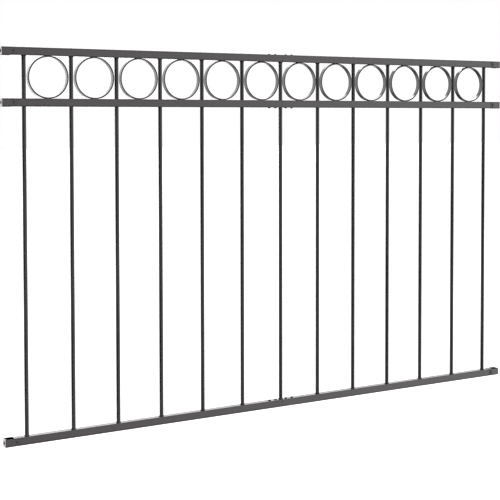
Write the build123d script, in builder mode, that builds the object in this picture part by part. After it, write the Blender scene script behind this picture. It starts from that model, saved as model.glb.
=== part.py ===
"""Steel fence panel: three square-tube rails in two halves, round-bar pickets
threaded through them, and a row of flat-bar rings between the upper two rails.

Frame: millimetres, +Z up, +X along the panel from the left end to the right,
+Y to the back. The origin is the middle of the outer face of the lower left
end bracket, where the panel is bolted to its post.
"""
import os

from build123d import *

# ---------------------------------------------------------------- dimensions
panel_length = 1656.0          # outer face of one end bracket to the other
mid_x = panel_length / 2       # the two halves of the panel meet here

# rails: square steel tube
rail_size = 20.0
rail_wall = 1.2
rail_corner = 1.8              # outer corner radius of the tube
rail_inner_corner = 0.8
bottom_rail_z = 0.0            # axes of the three rails
middle_rail_z = 862.4
top_rail_z = 992.0
half_gap = 0.4                 # each half stops short of the middle by this

# pickets: round bar
picket_count = 13
picket_pitch = 128.0
picket_diameter = 10.0
picket_hole = 10.4             # punched hole in the rail walls
picket_above_rail = 0.7        # stub that stands out of the top rail
picket_foot = bottom_rail_z - rail_size / 2 + rail_wall
picket_head = top_rail_z + rail_size / 2 + picket_above_rail

# rings: flat bar on edge, bent to a circle
ring_outer = (top_rail_z - middle_rail_z) - rail_size
ring_thickness = 3.0
ring_width = 12.0              # along Y
ring_edge = 0.4                # rounded edges of the flat bar

# end brackets: a short box with a bolt hole in its end and one side open
bracket_length = 36.7          # end face to the joint line on the rail
left_gap = 0.4                 # joint line between bracket and rail, pushed home
right_gap = 2.0                # and pulled out a little at the other end
pin_hole = 4.2                 # small hole in the front and back beside the joint line
pin_hole_depth = 4.6
pin_hole_from_end = 29.4
plate_thickness = 2.5
bolt_hole = 8.4                # clearance for an M8 bolt
pocket_length = 20.5
pocket_width = 15.6
pocket_floor = 2.4
pocket_corner = 1.2
spigot_size = 17.2
spigot_length = 16.0
spigot_wall = 1.6

# middle joint: a sleeve inside each rail, held by four button-head screws
sleeve_size = 17.2
sleeve_wall = 1.6
sleeve_length = 104.0
screw_offsets = (-37.8, -17.5, 17.5, 37.8)
screw_shank = 4.0
screw_hole = 4.3
screw_length = 7.0             # under the head
screw_head = 7.4
screw_head_height = 2.1
screw_socket = 2.5             # across flats
screw_socket_depth = 1.2

picket_x = [mid_x + (i - (picket_count - 1) / 2) * picket_pitch
            for i in range(picket_count)]
ring_x = [(a + b) / 2 for a, b in zip(picket_x, picket_x[1:])]
ring_z = (top_rail_z + middle_rail_z) / 2

os.makedirs("parts", exist_ok=True)


def save(builder, label):
    builder.part.label = label
    export_step(builder.part, f"parts/{label}.step")


# --------------------------------------------------------------------- rails
def rail_half(label, axis_z, x_from, x_to, screw_side, through):
    """One half of a rail: a square tube with punched picket holes.

    screw_side is +1 where the joint screws go in from above, -1 from below.
    through is False where the pickets end inside the tube.
    """
    with BuildPart() as rail:
        with BuildSketch(Plane.YZ.offset(x_from)):
            with Locations((0, axis_z)):
                RectangleRounded(rail_size, rail_size, rail_corner)
                RectangleRounded(rail_size - 2 * rail_wall, rail_size - 2 * rail_wall,
                                 rail_inner_corner, mode=Mode.SUBTRACT)
        extrude(amount=x_to - x_from)
        # picket holes; the middle picket takes a half-round bite out of the end
        holes = [x for x in picket_x if x_from - 1 < x < x_to + 1]
        with BuildSketch(Plane.XY.offset(axis_z)):
            with Locations(*[(x, 0) for x in holes]):
                Circle(picket_hole / 2)
        extrude(amount=rail_size, both=through, mode=Mode.SUBTRACT)
        # clearance holes for the joint screws in one wall
        screws = [mid_x + d for d in screw_offsets if x_from < mid_x + d < x_to]
        with BuildSketch(Plane.XY.offset(axis_z)):
            with Locations(*[(x, 0) for x in screws]):
                Circle(screw_hole / 2)
        extrude(amount=screw_side * rail_size, mode=Mode.SUBTRACT)
    save(rail, label)


rail_levels = (
    # name, axis height, joint screws from, bracket pocket opens, pickets pass through
    ("top", top_rail_z, 1, -1, True),
    ("middle", middle_rail_z, -1, -1, True),
    ("bottom", bottom_rail_z, 1, 1, False),
)

for level, axis_z, screw_side, pocket_side, through in rail_levels:
    rail_half(f"{level}_rail_left", axis_z, bracket_length + left_gap,
              mid_x - half_gap, screw_side, through)
    rail_half(f"{level}_rail_right", axis_z, mid_x + half_gap,
              panel_length - bracket_length - right_gap, screw_side, through)


# ------------------------------------------------------------------- pickets
for i, x in enumerate(picket_x, start=1):
    with BuildPart() as picket:
        with BuildSketch(Plane.XY.offset(picket_foot)):
            with Locations((x, 0)):
                Circle(picket_diameter / 2)
        extrude(amount=picket_head - picket_foot)
        top_edges = picket.edges().filter_by(GeomType.CIRCLE).sort_by(Axis.Z)[-1:]
        chamfer(top_edges, length=0.4)
    save(picket, f"picket_{i:02d}")


# --------------------------------------------------------------------- rings
for i, x in enumerate(ring_x, start=1):
    with BuildPart() as ring:
        with BuildSketch(Plane.XZ):
            with Locations((x, ring_z)):
                Circle(ring_outer / 2)
                Circle(ring_outer / 2 - ring_thickness, mode=Mode.SUBTRACT)
        extrude(amount=ring_width / 2, both=True)
        rims = ring.faces().sort_by(Axis.Y)
        fillet(rims[0].edges() + rims[-1].edges(), radius=ring_edge)
    save(ring, f"ring_{i:02d}")


# -------------------------------------------------------------- end brackets
def end_bracket(label, axis_z, x_plate, inward, pocket_side):
    """A short box on the end of a rail, with a bolt hole in its end plate.

    inward is +1 on the left end, -1 on the right. The pocket behind the plate
    opens upwards (+1) or downwards (-1), so that the bolt can be reached.
    """
    pin_x = x_plate + inward * pin_hole_from_end
    with BuildPart() as bracket:
        with BuildSketch(Plane.YZ.offset(x_plate)):
            with Locations((0, axis_z)):
                RectangleRounded(rail_size, rail_size, rail_corner)
        extrude(amount=inward * bracket_length)
        # hollow spigot that plugs into the rail
        with BuildSketch(Plane.YZ.offset(x_plate + inward * bracket_length)):
            with Locations((0, axis_z)):
                RectangleRounded(spigot_size, spigot_size, rail_inner_corner)
                Rectangle(spigot_size - 2 * spigot_wall, spigot_size - 2 * spigot_wall,
                          mode=Mode.SUBTRACT)
        extrude(amount=inward * spigot_length)
        # pocket behind the end plate
        floor_z = axis_z - pocket_side * (rail_size / 2 - pocket_floor)
        with BuildSketch(Plane.XY.offset(floor_z)):
            with Locations((x_plate + inward * (plate_thickness + pocket_length / 2), 0)):
                RectangleRounded(pocket_length, pocket_width, pocket_corner)
        extrude(amount=pocket_side * rail_size, mode=Mode.SUBTRACT)
        # bolt hole through the end plate
        with BuildSketch(Plane.YZ.offset(x_plate)):
            with Locations((0, axis_z)):
                Circle(bolt_hole / 2)
        extrude(amount=inward * (plate_thickness + 1), mode=Mode.SUBTRACT)
        # blind pin holes in the front and back faces
        for face in (Plane.XZ.offset(rail_size / 2), Plane.XZ.offset(-rail_size / 2)):
            depth = -pin_hole_depth if face.origin.Y < 0 else pin_hole_depth
            with BuildSketch(face):
                with Locations((pin_x, axis_z)):
                    Circle(pin_hole / 2)
            extrude(amount=depth, mode=Mode.SUBTRACT)
    save(bracket, label)


for level, axis_z, screw_side, pocket_side, through in rail_levels:
    end_bracket(f"{level}_left_end_bracket", axis_z, 0.0, 1, pocket_side)
    end_bracket(f"{level}_right_end_bracket", axis_z, panel_length, -1, pocket_side)


# -------------------------------------------------------------- middle joint
def joint_sleeve(label, axis_z, screw_side, through):
    """Square sleeve inside the two half rails, with the middle picket through it."""
    with BuildPart() as sleeve:
        with BuildSketch(Plane.YZ.offset(mid_x - sleeve_length / 2)):
            with Locations((0, axis_z)):
                RectangleRounded(sleeve_size, sleeve_size, rail_inner_corner)
                Rectangle(sleeve_size - 2 * sleeve_wall, sleeve_size - 2 * sleeve_wall,
                          mode=Mode.SUBTRACT)
        extrude(amount=sleeve_length)
        with BuildSketch(Plane.XY.offset(axis_z)):
            with Locations((mid_x, 0)):
                Circle(picket_hole / 2)
        extrude(amount=rail_size, both=True, mode=Mode.SUBTRACT)
        with BuildSketch(Plane.XY.offset(axis_z)):
            with Locations(*[(mid_x + d, 0) for d in screw_offsets]):
                Circle(screw_shank / 2)
        extrude(amount=screw_side * rail_size, mode=Mode.SUBTRACT)
    save(sleeve, label)


def joint_screws(label, axis_z, screw_side):
    """Four button-head screws that hold a rail's two halves on its sleeve."""
    face_z = axis_z + screw_side * rail_size / 2
    spots = [(mid_x + d, 0) for d in screw_offsets]
    with BuildPart() as screws:
        with BuildSketch(Plane.XY.offset(face_z)):
            with Locations(*spots):
                Circle(screw_head / 2)
        extrude(amount=screw_side * screw_head_height)
        rims = screws.faces().sort_by(Axis.Z)
        crowns = rims[-4:] if screw_side > 0 else rims[:4]
        fillet(crowns.edges(), radius=screw_head_height * 0.75)
        with BuildSketch(Plane.XY.offset(face_z)):
            with Locations(*spots):
                Circle(screw_shank / 2)
        extrude(amount=-screw_side * screw_length)
        socket_z = face_z + screw_side * (screw_head_height - screw_socket_depth)
        with BuildSketch(Plane.XY.offset(socket_z)):
            with Locations(*spots):
                RegularPolygon(screw_socket / 2, 6, major_radius=False)
        extrude(amount=screw_side * (screw_socket_depth + 1), mode=Mode.SUBTRACT)
    save(screws, label)


for level, axis_z, screw_side, pocket_side, through in rail_levels:
    joint_sleeve(f"{level}_joint_sleeve", axis_z, screw_side, through)
    joint_screws(f"{level}_joint_screws", axis_z, screw_side)
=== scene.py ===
"""Steel fence panel: finishes, weld beads, set screws, studio light and camera
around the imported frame. Metres, +X along the panel, +Y to the back, +Z up."""
import math
import random

import bpy
from mathutils import Matrix, Vector


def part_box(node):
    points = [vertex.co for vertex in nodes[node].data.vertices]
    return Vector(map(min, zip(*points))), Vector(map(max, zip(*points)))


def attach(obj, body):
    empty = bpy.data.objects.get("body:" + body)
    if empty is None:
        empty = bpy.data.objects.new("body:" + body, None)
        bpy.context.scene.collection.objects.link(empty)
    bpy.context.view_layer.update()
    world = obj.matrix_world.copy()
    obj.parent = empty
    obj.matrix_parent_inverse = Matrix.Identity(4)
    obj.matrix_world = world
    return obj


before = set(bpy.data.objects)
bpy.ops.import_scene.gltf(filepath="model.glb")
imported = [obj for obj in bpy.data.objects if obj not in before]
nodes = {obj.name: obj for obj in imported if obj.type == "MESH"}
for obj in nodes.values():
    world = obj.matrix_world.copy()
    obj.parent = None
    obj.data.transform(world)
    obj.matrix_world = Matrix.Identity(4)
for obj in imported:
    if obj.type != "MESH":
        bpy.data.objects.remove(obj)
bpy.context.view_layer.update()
scene = bpy.context.scene
rng = random.Random(41)

# ------------------------------------------------------------- frame dimensions
PICKETS = [f"picket_{i:02d}" for i in range(1, 14)]
RINGS = [f"ring_{i:02d}" for i in range(1, 13)]
LEVELS = ("top", "middle", "bottom")


def middle(node, axis):
    low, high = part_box(node)
    return (low[axis] + high[axis]) / 2


picket_x = [middle(n, 0) for n in PICKETS]
picket_r = (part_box(PICKETS[0])[1][0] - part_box(PICKETS[0])[0][0]) / 2
ring_x = [middle(n, 0) for n in RINGS]
ring_z = middle(RINGS[0], 2)
ring_r = (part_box(RINGS[0])[1][2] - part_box(RINGS[0])[0][2]) / 2
ring_half_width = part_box(RINGS[0])[1][1]
rail_z = {lv: (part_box(f"{lv}_rail_left")[0][2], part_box(f"{lv}_rail_left")[1][2]) for lv in LEVELS}
rail_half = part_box("top_rail_left")[1][1]


# ------------------------------------------------------------------- materials
def new_material(name):
    mat = bpy.data.materials.new(name)
    mat.use_nodes = True
    tree = mat.node_tree
    return mat, tree, tree.nodes["Principled BSDF"]


def add(tree, kind, **values):
    """A node with its properties (plain names) and inputs (in_ names) set."""
    node = tree.nodes.new(kind)
    for key, value in values.items():
        if key.startswith("in_"):
            node.inputs[key[3:].replace("_", " ")].default_value = value
        else:
            setattr(node, key, value)
    return node


def noise(tree, coord, scale, detail, rough=0.5):
    node = add(tree, "ShaderNodeTexNoise", in_Scale=scale, in_Detail=detail, in_Roughness=rough)
    tree.links.new(coord, node.inputs["Vector"])
    return node.outputs["Fac"]


def spread(tree, value, low, high, to_low, to_high):
    """Stretches a noise value onto a range."""
    node = add(tree, "ShaderNodeMapRange", in_From_Min=low, in_From_Max=high,
               in_To_Min=to_low, in_To_Max=to_high)
    tree.links.new(value, node.inputs["Value"])
    return node.outputs["Result"]


def ramp(tree, value, stops):
    node = add(tree, "ShaderNodeValToRGB")
    band = node.color_ramp
    while len(band.elements) < len(stops):
        band.elements.new(0.5)
    for element, (at, colour) in zip(band.elements, stops):
        element.position = at
        element.color = (*colour, 1.0)
    tree.links.new(value, node.inputs["Fac"])
    return node.outputs["Color"]


def multiply(tree, a, b):
    node = add(tree, "ShaderNodeMix", data_type="RGBA", blend_type="MULTIPLY")
    node.inputs[0].default_value = 1.0
    tree.links.new(a, node.inputs[6])
    tree.links.new(b, node.inputs[7])
    return node.outputs[2]


def bump(tree, height, distance, strength, below=None):
    node = add(tree, "ShaderNodeBump", in_Strength=strength, in_Distance=distance)
    tree.links.new(height, node.inputs["Height"])
    if below is not None:
        tree.links.new(below, node.inputs["Normal"])
    return node.outputs["Normal"]


def shade(colour, k):
    return tuple(c * k for c in colour)


def powder_coat(name, colour, rough=(0.17, 0.27), peel=0.35, occluded_tone=0.55, sheen=0.5):
    """Semi-gloss powder coat: cloudy tone, fine speckle, orange peel, and painted
    shade: the colour darkens in the corners where the pieces meet."""
    mat, tree, bsdf = new_material(name)
    coord = add(tree, "ShaderNodeTexCoord").outputs["Object"]
    cloud = noise(tree, coord, 6.5, 3.0, 0.55)
    tone = ramp(tree, cloud, [(0.36, shade(colour, 0.93)), (0.64, shade(colour, 1.07))])
    speck = ramp(tree, noise(tree, coord, 1500.0, 2.0, 0.6),
                 [(0.30, (0.88, 0.88, 0.88)), (0.70, (1.12, 1.12, 1.12))])
    tone = multiply(tree, tone, speck)
    # painted shade: the base colour darkens where ambient occlusion finds other surfaces close by
    corner = add(tree, "ShaderNodeAmbientOcclusion", samples=6, in_Distance=0.009)
    painted_corner_shade = ramp(tree, corner.outputs["AO"], [(0.25, (occluded_tone, occluded_tone, occluded_tone)), (0.75, (1.0, 1.0, 1.0))])
    tone = multiply(tree, tone, painted_corner_shade)
    tree.links.new(tone, bsdf.inputs["Base Color"])
    gloss = noise(tree, coord, 34.0, 4.0, 0.6)
    tree.links.new(spread(tree, gloss, 0.32, 0.68, *rough), bsdf.inputs["Roughness"])
    grain = bump(tree, noise(tree, coord, 2600.0, 1.0), 0.000006, 0.3)
    skin = bump(tree, noise(tree, coord, 520.0, 1.5, 0.45), 0.00002, peel, grain)
    tree.links.new(skin, bsdf.inputs["Normal"])
    bsdf.inputs["IOR"].default_value = 1.5
    bsdf.inputs["Specular IOR Level"].default_value = sheen
    return mat


def black_oxide(name):
    """Chemically blackened screw steel: slightly mottled and oily."""
    mat, tree, bsdf = new_material(name)
    coord = add(tree, "ShaderNodeTexCoord").outputs["Object"]
    tone = ramp(tree, noise(tree, coord, 420.0, 3.0, 0.6),
                [(0.34, (0.010, 0.010, 0.011)), (0.66, (0.024, 0.023, 0.022))])
    tree.links.new(tone, bsdf.inputs["Base Color"])
    tree.links.new(spread(tree, noise(tree, coord, 900.0, 2.0), 0.3, 0.7, 0.30, 0.46),
                   bsdf.inputs["Roughness"])
    skin = bump(tree, noise(tree, coord, 2200.0, 2.0), 0.00001, 0.3)
    tree.links.new(skin, bsdf.inputs["Normal"])
    return mat


def mill_scale(name):
    """Blue-black mill scale on the sleeves inside the rails: cloudy, with fine pores."""
    mat, tree, bsdf = new_material(name)
    coord = add(tree, "ShaderNodeTexCoord").outputs["Object"]
    tone = ramp(tree, noise(tree, coord, 75.0, 4.0, 0.6),
                [(0.34, (0.014, 0.014, 0.016)), (0.66, (0.030, 0.029, 0.029))])
    pores = add(tree, "ShaderNodeTexVoronoi", in_Scale=640.0)
    tree.links.new(coord, pores.inputs["Vector"])
    tone = multiply(tree, tone, ramp(tree, pores.outputs["Distance"],
                                     [(0.05, (0.6, 0.6, 0.6)), (0.35, (1.0, 1.0, 1.0))]))
    tree.links.new(tone, bsdf.inputs["Base Color"])
    tree.links.new(spread(tree, noise(tree, coord, 120.0, 3.0), 0.3, 0.7, 0.45, 0.65),
                   bsdf.inputs["Roughness"])
    skin = bump(tree, noise(tree, coord, 800.0, 2.0), 0.00001, 0.3)
    tree.links.new(skin, bsdf.inputs["Normal"])
    return mat


def moulded(name, colour, rough, sheen):
    """Matt moulded plastic: spark-eroded grain and a faint cloudiness."""
    mat, tree, bsdf = new_material(name)
    coord = add(tree, "ShaderNodeTexCoord").outputs["Object"]
    tone = ramp(tree, noise(tree, coord, 160.0, 3.0, 0.55),
                [(0.34, shade(colour, 0.88)), (0.66, shade(colour, 1.12))])
    tree.links.new(tone, bsdf.inputs["Base Color"])
    tree.links.new(spread(tree, noise(tree, coord, 300.0, 2.0), 0.3, 0.7, *rough), bsdf.inputs["Roughness"])
    skin = bump(tree, noise(tree, coord, 3200.0, 2.0, 0.6), 0.00002, 0.5)
    tree.links.new(skin, bsdf.inputs["Normal"])
    bsdf.inputs["Specular IOR Level"].default_value = sheen
    return mat


COAT = (0.0605, 0.0494, 0.0520)
coat = powder_coat("powder_coat_finish", COAT)
BAR_COAT = (0.0560, 0.0538, 0.0540)
bar_coat = powder_coat("bar_coat_finish", BAR_COAT, rough=(0.28, 0.40), occluded_tone=0.8, sheen=0.2)
weld_coat = powder_coat("weld_coat_finish", BAR_COAT, rough=(0.24, 0.36), peel=0.7, occluded_tone=0.8, sheen=0.35)
# painted shade: the bottom rail's weld beads take the picket coat darkened to 0.55, for the shadow at the
# picket feet
foot_shade_coat = powder_coat("foot_weld_painted_shade_finish", shade(BAR_COAT, 0.55), rough=(0.28, 0.40), peel=0.7, sheen=0.25)
oxide = black_oxide("black_oxide_finish")
scale_skin = mill_scale("mill_scale_finish")
plate_plastic = moulded("joint_plate_finish", (0.072, 0.069, 0.069), (0.62, 0.78), 0.3)
# painted shade: a near-black, almost unreflecting finish for the sheets laid in the bolt pockets and holes,
# where there is only shade
pocket_shade_black = moulded("pocket_painted_shade_finish", (0.0045, 0.0045, 0.0046), (0.8, 0.95), 0.03)


def dress(obj, mat):
    if not obj.material_slots:
        obj.data.materials.append(mat)
    for s in obj.material_slots:
        s.material = mat


for name, obj in nodes.items():
    if name.endswith("_joint_screws"):
        dress(obj, oxide)
    elif name.endswith("_joint_sleeve"):
        dress(obj, scale_skin)
    elif name.startswith("picket_"):
        dress(obj, bar_coat)
    else:
        dress(obj, coat)


# ---------------------------------------------------------------- added pieces
class Shape:
    """Vertices and faces of one piece, gathered from many small closed solids."""

    def __init__(self):
        self.verts, self.faces = [], []

    def loops(self, rows, closed):
        """Skins a list of equal point loops; closed joins the last to the first,
        otherwise both ends are capped."""
        first, n = len(self.verts), len(rows[0])
        for row in rows:
            self.verts.extend(row)
        count = len(rows)
        for i in range(count if closed else count - 1):
            a, b = first + i * n, first + ((i + 1) % count) * n
            for k in range(n):
                m = (k + 1) % n
                self.faces.append((a + k, a + m, b + m, b + k))
        if not closed:
            self.faces.append(tuple(first + k for k in reversed(range(n))))
            last = first + (count - 1) * n
            self.faces.append(tuple(last + k for k in range(n)))

    def piece(self, name, mat, slot, smooth_angle=40.0):
        mesh = bpy.data.meshes.new(name)
        mesh.from_pydata(self.verts, [], self.faces)
        mesh.validate()
        obj = bpy.data.objects.new(name, mesh)
        scene.collection.objects.link(obj)
        bpy.context.view_layer.objects.active = obj
        for o in bpy.context.selected_objects:
            o.select_set(False)
        obj.select_set(True)
        bpy.ops.object.mode_set(mode="EDIT")
        bpy.ops.mesh.select_all(action="SELECT")
        bpy.ops.mesh.normals_make_consistent(inside=False)
        bpy.ops.object.mode_set(mode="OBJECT")
        bpy.ops.object.shade_smooth_by_angle(angle=math.radians(smooth_angle))
        obj.select_set(False)
        dress(obj, mat)
        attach(obj, "root")
        return obj


def bar_bead(shape, x, z, side, leg_r, leg_z, ripples=15, turn=48):
    """A fillet weld all round a picket, standing on a rail face (side +1) or
    hanging under one (side -1). Ripples run round it as the torch moved."""
    start, drift = rng.random(), [rng.uniform(0, math.tau) for _ in range(3)]
    sink = 0.00025
    rows = []
    for i in range(turn):
        a = math.tau * i / turn
        s = (a / math.tau * ripples + start) % 1.0
        swell = 1.0 + 0.10 * (4 * s * (1 - s) - 0.6) \
            + 0.07 * math.sin(a + drift[0]) + 0.05 * math.sin(2 * a + drift[1])
        tall = 1.0 + 0.06 * math.sin(a + drift[2]) + 0.05 * (4 * s * (1 - s) - 0.6)
        out, up = leg_r * swell, leg_z * tall
        section = []
        for k in range(7):
            q = math.pi / 2 * k / 6
            section.append((out * math.sin(q) ** 1.75, up * math.cos(q) ** 1.75))
        section += [(out, -sink), (-sink, -sink), (-sink, up)]
        rows.append([(x + (picket_r + r) * math.cos(a), (picket_r + r) * math.sin(a), z + side * h)
                     for r, h in section])
    shape.loops(rows, closed=True)


def ring_bead(shape, x, z_rail, up, side):
    """A weld across the wedge between a ring and a rail. up is +1 where the rail
    is above the ring; side is the end of the contact, -1 left or +1 right."""
    reach, grip, root, sink = 0.0086, 0.0080, 0.0020, 0.0003
    wave = [rng.uniform(-1, 1) for _ in range(4)]
    stations = 17
    rows = []
    for i in range(stations):
        t = i / (stations - 1)
        y = (2 * t - 1) * (ring_half_width + 0.0004)
        ripple = 0.00022 * math.sin(t * math.tau * 4.5 + wave[0] * 3) + 0.0003 * wave[1] * (2 * t - 1)
        taper = 1.0 - 0.16 * (abs(2 * t - 1) ** 6)
        foot = reach * taper + ripple
        toe = grip * taper + 0.6 * ripple

        def on_ring(dx, inside=0.0):
            return ring_z + up * math.sqrt((ring_r - inside) ** 2 - dx * dx)

        section = [(root, z_rail + up * sink), (foot, z_rail + up * sink), (foot, z_rail)]
        z_toe = on_ring(toe)
        for k in (1, 2, 3):
            f = k / 4
            bulge = 0.00035 * math.sin(math.pi * f)
            section.append((foot + (toe - foot) * f + bulge, z_rail + (z_toe - z_rail) * f))
        section += [(toe, z_toe), (toe - 0.0002, on_ring(toe - 0.0002, sink)),
                    (root, on_ring(root, sink))]
        rows.append([(x + side * dx, y, z) for dx, z in section])
    shape.loops(rows, closed=False)


def set_screw(shape, x, z, y_face, out, sunk):
    """A small hexagon-socket set screw sunk in a bracket's side hole.
    out is the direction of the open end along Y."""
    n, r, length, flats, deep = 36, 0.00202, 0.0020, 0.0020, 0.0012
    turn = rng.uniform(0, math.pi / 3)

    def hexagon(a):
        b = (a + turn) % (math.pi / 3) - math.pi / 6
        return flats / 2 / math.cos(b)

    def loop(radius, depth):
        row = []
        for i in range(n):
            a = math.tau * i / n
            rr = radius(a) if callable(radius) else radius
            row.append((x + rr * math.cos(a), y_face - out * depth, z + rr * math.sin(a)))
        return row

    rows = [loop(0.0004, sunk + deep + 0.0002), loop(hexagon, sunk + deep), loop(hexagon, sunk),
            loop(r - 0.0003, sunk), loop(r, sunk + 0.0003), loop(r, sunk + length),
            loop(r * 0.5, sunk + length + 0.0001)]
    shape.loops(rows, closed=False)


top_low, top_high = rail_z["top"]
mid_low, mid_high = rail_z["middle"]
bottom_high = rail_z["bottom"][1]

welds = Shape()
for x in picket_x:
    bar_bead(welds, x, top_high, 1, 0.0017, 0.0006, ripples=12)
    bar_bead(welds, x, top_low, -1, 0.0017, 0.0030)
welds.piece("top_rail_picket_welds", weld_coat, "powder_coat")
welds = Shape()
for x in picket_x:
    bar_bead(welds, x, mid_high, 1, 0.0014, 0.0017)
    bar_bead(welds, x, mid_low, -1, 0.0009, 0.0009)
welds.piece("middle_rail_picket_welds", weld_coat, "powder_coat")
welds = Shape()
for x in picket_x:
    bar_bead(welds, x, bottom_high, 1, 0.0018, 0.0032)
welds.piece("bottom_rail_picket_welds", foot_shade_coat, "powder_coat")

welds = Shape()
for x in ring_x:
    for side in (-1, 1):
        ring_bead(welds, x, top_low, 1, side)
welds.piece("ring_welds_upper", weld_coat, "powder_coat")
welds = Shape()
for x in ring_x:
    for side in (-1, 1):
        ring_bead(welds, x, mid_high, -1, side)
welds.piece("ring_welds_lower", weld_coat, "powder_coat")

screws = Shape()
for lv in LEVELS:
    z = sum(rail_z[lv]) / 2
    for x in (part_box(f"{lv}_left_end_bracket")[0][0] + 0.0294,
              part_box(f"{lv}_right_end_bracket")[1][0] - 0.0294):
        sunk = 0.0006 if x < 0.5 else 0.0024      # the left ones are driven less deep
        set_screw(screws, x, z, -rail_half, -1, sunk)
        set_screw(screws, x, z, rail_half, 1, sunk)
screws.piece("bracket_set_screws", oxide, "black_steel", 30.0)


def joint_plates(shape, x_end, inward, z):
    """Thin matt plates on the front and back over the joint of an end bracket,
    each with a hole for the set screw."""
    near, far, hole_r = 0.0268, 0.0389, 0.00225
    lift, corner = 0.00028, 0.0019
    flat = rail_half - corner
    low, high = sorted((x_end + inward * near, x_end + inward * far))
    x_hole = x_end + inward * 0.0294
    # each plate is a ring between the hole and its own outline
    turns = sorted({round(math.tau * i / 40, 6) for i in range(40)}
                   | {round(math.atan2(dz, dx) % math.tau, 6)
                      for dx in (low - x_hole, high - x_hole) for dz in (-flat, flat)})
    for out in (-1, 1):
        rows = []
        for a in turns:
            c, s = math.cos(a), math.sin(a)
            reach = min(((high if c > 0 else low) - x_hole) / c if abs(c) > 1e-9 else 1.0,
                        flat / abs(s) if abs(s) > 1e-9 else 1.0)
            r = min(hole_r, 0.97 * reach)
            rows.append([(x_hole + reach * c, out * (rail_half + lift), z + reach * s),
                         (x_hole + r * c, out * (rail_half + lift), z + r * s),
                         (x_hole + r * c, out * (rail_half + 0.00002), z + r * s),
                         (x_hole + reach * c, out * (rail_half + 0.00002), z + reach * s)])
        shape.loops(rows, closed=True)


def pocket_shade_sheet(shape, x_end, inward, z, side):
    """A near-black sheet on the floor and three walls of a bolt pocket, with a thin lip
    round the rim: painted shade that keeps the pocket dark. The wall with the bolt
    hole stays bare. side is the way the pocket opens."""
    x0, x1, half_y, corner = 0.0026, 0.02292, 0.00772, 0.0011
    skin = 0.0004
    base, rim, lip, lip_high = -0.00754, 0.01002, 0.0009, 0.00026
    path = [(x0, -half_y, 0.0, -1.0), (x1 - corner, -half_y, 0.0, -1.0)]
    for k in range(1, 9):
        a = math.pi / 2 * k / 8
        path.append((x1 - corner + corner * math.sin(a), -half_y + corner - corner * math.cos(a),
                     math.sin(a), -math.cos(a)))
    path += [(x, -y, nx, -ny) for x, y, nx, ny in reversed(path)]
    rows, outline = [], []
    for x, y, nx, ny in path:
        wall = (x_end + inward * x, y)
        face = (x_end + inward * (x - skin * nx), y - skin * ny)
        edge = (x_end + inward * (x + lip * nx), y + lip * ny)
        rows.append([(*wall, z + side * base), (*wall, z + side * rim), (*edge, z + side * rim),
                     (*edge, z + side * (rim + lip_high)), (*face, z + side * (rim + lip_high)),
                     (*face, z + side * base)])
        outline.append(face)
    shape.loops(rows, closed=False)
    shape.loops([[(*q, z + side * h) for q in outline] for h in (base, base + skin)], closed=False)


def bolt_hole_shade_sleeve(shape, x_end, inward, z):
    """A thin near-black sleeve in the bolt hole of an end plate, with a chamfered mouth; painted shade that
    keeps the hole dark.
    """
    near, far, r_out, r_in, mouth = 0.00008, 0.00245, 0.00418, 0.00405, 0.00012
    rows = []
    for i in range(48):
        a = math.tau * i / 48
        rows.append([(x_end + inward * d, r * math.cos(a), z + r * math.sin(a))
                     for d, r in ((near, r_out), (near + mouth, r_in), (far, r_in), (far, r_out))])
    shape.loops(rows, closed=True)


# the bolt pockets and holes get near-black sheets, painted shade that keeps them dark
plates, shade_sheets = Shape(), Shape()
for lv, side in zip(LEVELS, (-1, -1, 1)):
    z = sum(rail_z[lv]) / 2
    for x_end, inward in ((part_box(f"{lv}_left_end_bracket")[0][0], 1),
                          (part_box(f"{lv}_right_end_bracket")[1][0], -1)):
        joint_plates(plates, x_end, inward, z)
        pocket_shade_sheet(shade_sheets, x_end, inward, z, side)
        bolt_hole_shade_sleeve(shade_sheets, x_end, inward, z)
plates.piece("bracket_joint_plates", plate_plastic, "powder_coat", 30.0)
shade_sheets.piece("bolt_pocket_painted_shade", pocket_shade_black, "black_steel", 30.0)


# ----------------------------------------------------------------------- studio
FLOOR_Z = -0.062
floor_mesh = bpy.data.meshes.new("studio_floor")
half = 30.0
floor_mesh.from_pydata([(-half, -half, FLOOR_Z), (half, -half, FLOOR_Z),
                        (half, half, FLOOR_Z), (-half, half, FLOOR_Z)], [], [(0, 1, 2, 3)])
floor = bpy.data.objects.new("studio_floor", floor_mesh)
scene.collection.objects.link(floor)
mat, tree, bsdf = new_material("pale_floor")
coord = add(tree, "ShaderNodeTexCoord").outputs["Object"]
tree.links.new(ramp(tree, noise(tree, coord, 1.7, 4.0),
                    [(0.3, (0.118, 0.118, 0.117)), (0.7, (0.124, 0.124, 0.123))]), bsdf.inputs["Base Color"])
tree.links.new(spread(tree, noise(tree, coord, 9.0, 3.0), 0.3, 0.7, 0.7, 0.8), bsdf.inputs["Roughness"])
bsdf.inputs["Specular IOR Level"].default_value = 0.2
bsdf.inputs["Emission Color"].default_value = (1.0, 1.0, 1.0, 1.0)   # a lit sweep, so that it stays white
bsdf.inputs["Emission Strength"].default_value = 0.92
dress(floor, mat)
floor.visible_diffuse = floor.visible_glossy = floor.visible_transmission = False

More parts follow.
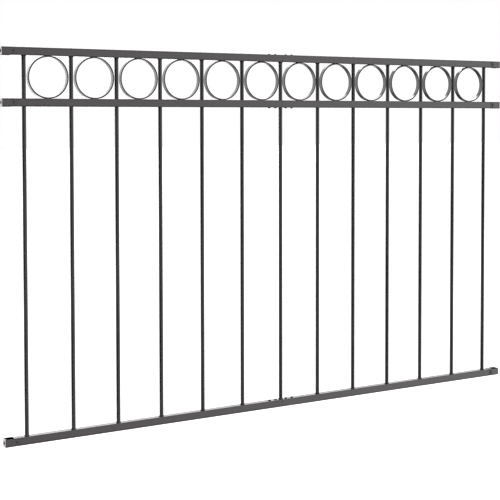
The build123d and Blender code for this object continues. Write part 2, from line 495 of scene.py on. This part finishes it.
# a surround of soft white light: a bright wall behind the panel, a softbox to the
# front right, a dimmer left side, a dark ground, and a large softbox overhead to the
# back. Azimuth runs from the back (0) over the right (90) to the front (180), and
# -90 is the left.
SURROUND = [(-180, 0.90), (-160, 0.70), (-140, 0.52), (-120, 0.44), (-95, 0.40), (-72, 0.50),
            (-58, 1.3), (-46, 3.0), (-34, 3.9), (-8, 3.9), (4, 3.1), (20, 2.8), (31, 2.35),
            (43, 1.85), (60, 1.3), (80, 1.1), (100, 1.4), (118, 2.9), (130, 3.4), (138, 3.0),
            (150, 1.6), (162, 1.03), (180, 0.90)]
GROUND, OVERHEAD, SOFTBOX, PEAK = 0.30, 0.95, 8.0, 8.0
world = bpy.data.worlds.new("studio_surround")
scene.world = world
world.use_nodes = True
tree = world.node_tree
back = tree.nodes["Background"]
split = add(tree, "ShaderNodeSeparateXYZ")
tree.links.new(add(tree, "ShaderNodeTexCoord").outputs["Generated"], split.inputs[0])
to_x, to_y, to_z = (split.outputs[k] for k in "XYZ")


def math_node(operation, *values):
    node = add(tree, "ShaderNodeMath", operation=operation)
    for socket, value in zip(node.inputs, values):
        if isinstance(value, (int, float)):
            socket.default_value = value
        else:
            tree.links.new(value, socket)
    return node.outputs[0]


def step_up(value, low, high):
    """0 below low, 1 above high, smooth between."""
    node = add(tree, "ShaderNodeMapRange", interpolation_type="SMOOTHSTEP",
               in_From_Min=low, in_From_Max=high, in_To_Min=0.0, in_To_Max=1.0)
    tree.links.new(value, node.inputs["Value"])
    return node.outputs["Result"]


def blend_to(fac, a, level):
    node = add(tree, "ShaderNodeMix", data_type="RGBA")
    tree.links.new(fac, node.inputs[0])
    tree.links.new(a, node.inputs[6])
    node.inputs[7].default_value = (level / PEAK,) * 3 + (1.0,)
    return node.outputs[2]


turned = spread(tree, math_node("ARCTAN2", to_x, to_y), -math.pi, math.pi, 0.0, 1.0)
light = ramp(tree, turned, [((a + 180) / 360, (v / PEAK,) * 3) for a, v in SURROUND])
# the wall fades into a dark ground: sharply in front, slowly behind
fade = add(tree, "ShaderNodeMapRange", interpolation_type="SMOOTHSTEP", in_To_Min=1.0, in_To_Max=0.0)
tree.links.new(to_z, fade.inputs["Value"])
tree.links.new(spread(tree, to_y, -0.3, 0.3, -0.42, -0.62), fade.inputs["From Min"])
tree.links.new(spread(tree, to_y, -0.3, 0.3, -0.35, -0.25), fade.inputs["From Max"])
light = blend_to(fade.outputs["Result"], light, GROUND)
light = blend_to(step_up(to_z, 0.45, 0.75), light, OVERHEAD)
# the overhead softbox: its left edge runs straight back
box = step_up(math_node("MULTIPLY_ADD", to_z, 0.15, to_x), 0.0, 0.12)
for edge in (step_up(math_node("MULTIPLY_ADD", to_z, -0.75, to_y), 0.0, 0.12),
             step_up(math_node("SUBTRACT", math_node("MULTIPLY", to_z, 1.55), to_y), 0.0, 0.12),
             step_up(math_node("SUBTRACT", math_node("MULTIPLY", to_z, 1.2), to_x), 0.0, 0.06),
             step_up(to_z, 0.02, 0.08)):
    box = math_node("MULTIPLY", box, edge)
light = blend_to(box, light, SOFTBOX)
tree.links.new(light, back.inputs["Color"])
back.inputs["Strength"].default_value = PEAK
# the backdrop itself shows plain white
plain = add(tree, "ShaderNodeBackground")
plain.inputs["Color"].default_value = (1.0, 1.0, 1.0, 1.0)
plain.inputs["Strength"].default_value = 1.0
seen = add(tree, "ShaderNodeMixShader")
tree.links.new(add(tree, "ShaderNodeLightPath").outputs["Is Camera Ray"], seen.inputs[0])
tree.links.new(back.outputs[0], seen.inputs[1])
tree.links.new(plain.outputs[0], seen.inputs[2])
tree.links.new(seen.outputs[0], tree.nodes["World Output"].inputs["Surface"])

# tone curve: thin dark bars against white keep their full weight at the edges
scene.view_settings.view_transform = "Standard"
scene.view_settings.look = "None"
scene.view_settings.use_curve_mapping = True
curve = scene.view_settings.curve_mapping
curve.use_clip = False
TONE = [(0.0, 0.0), (0.03, 0.03), (0.06, 0.06), (0.09, 0.089), (0.13, 0.1134), (0.2, 0.1484),
        (0.3, 0.2070), (0.4, 0.2770), (0.5, 0.3590), (0.6, 0.4530), (0.7, 0.5590), (0.8, 0.680),
        (0.9, 0.8150), (1.0, 1.0)]
line = curve.curves[3]
line.points[0].location = TONE[0]
line.points[-1].location = TONE[-1]
for at in TONE[1:-1]:
    line.points.new(*at)
curve.update()

# a little sharpening, as the photo's own edges have
scene.use_nodes = True
tree = scene.node_tree
tree.nodes.clear()
layers = tree.nodes.new("CompositorNodeRLayers")
crisp = tree.nodes.new("CompositorNodeFilter")
crisp.filter_type = "SHARPEN_DIAMOND"
crisp.inputs["Fac"].default_value = 0.05
picture = tree.nodes.new("CompositorNodeComposite")
tree.links.new(layers.outputs["Image"], crisp.inputs["Image"])
tree.links.new(crisp.outputs["Image"], picture.inputs["Image"])

# ----------------------------------------------------------------------- camera
EYE = Vector((-0.976237, -2.856612, 0.821358))
YAW, PITCH, ROLL = 0.537464, -0.038333, -0.001729
ahead = Vector((math.sin(YAW) * math.cos(PITCH), math.cos(YAW) * math.cos(PITCH), math.sin(PITCH)))
right = Vector((math.cos(YAW), -math.sin(YAW), 0.0))
up = right.cross(ahead)
right, up = (right * math.cos(ROLL) + up * math.sin(ROLL),
             up * math.cos(ROLL) - right * math.sin(ROLL))
lens = bpy.data.cameras.new("photo_camera")
lens.sensor_fit = "HORIZONTAL"
lens.sensor_width = 36.0
lens.lens = 84.7531
lens.shift_y = -0.173
lens.clip_end = 200.0
camera = bpy.data.objects.new("photo_camera", lens)
camera.matrix_world = Matrix(((right.x, up.x, -ahead.x, EYE.x),
                              (right.y, up.y, -ahead.y, EYE.y),
                              (right.z, up.z, -ahead.z, EYE.z),
                              (0.0, 0.0, 0.0, 1.0)))
scene.collection.objects.link(camera)
scene.camera = camera

bpy.context.view_layer.update()
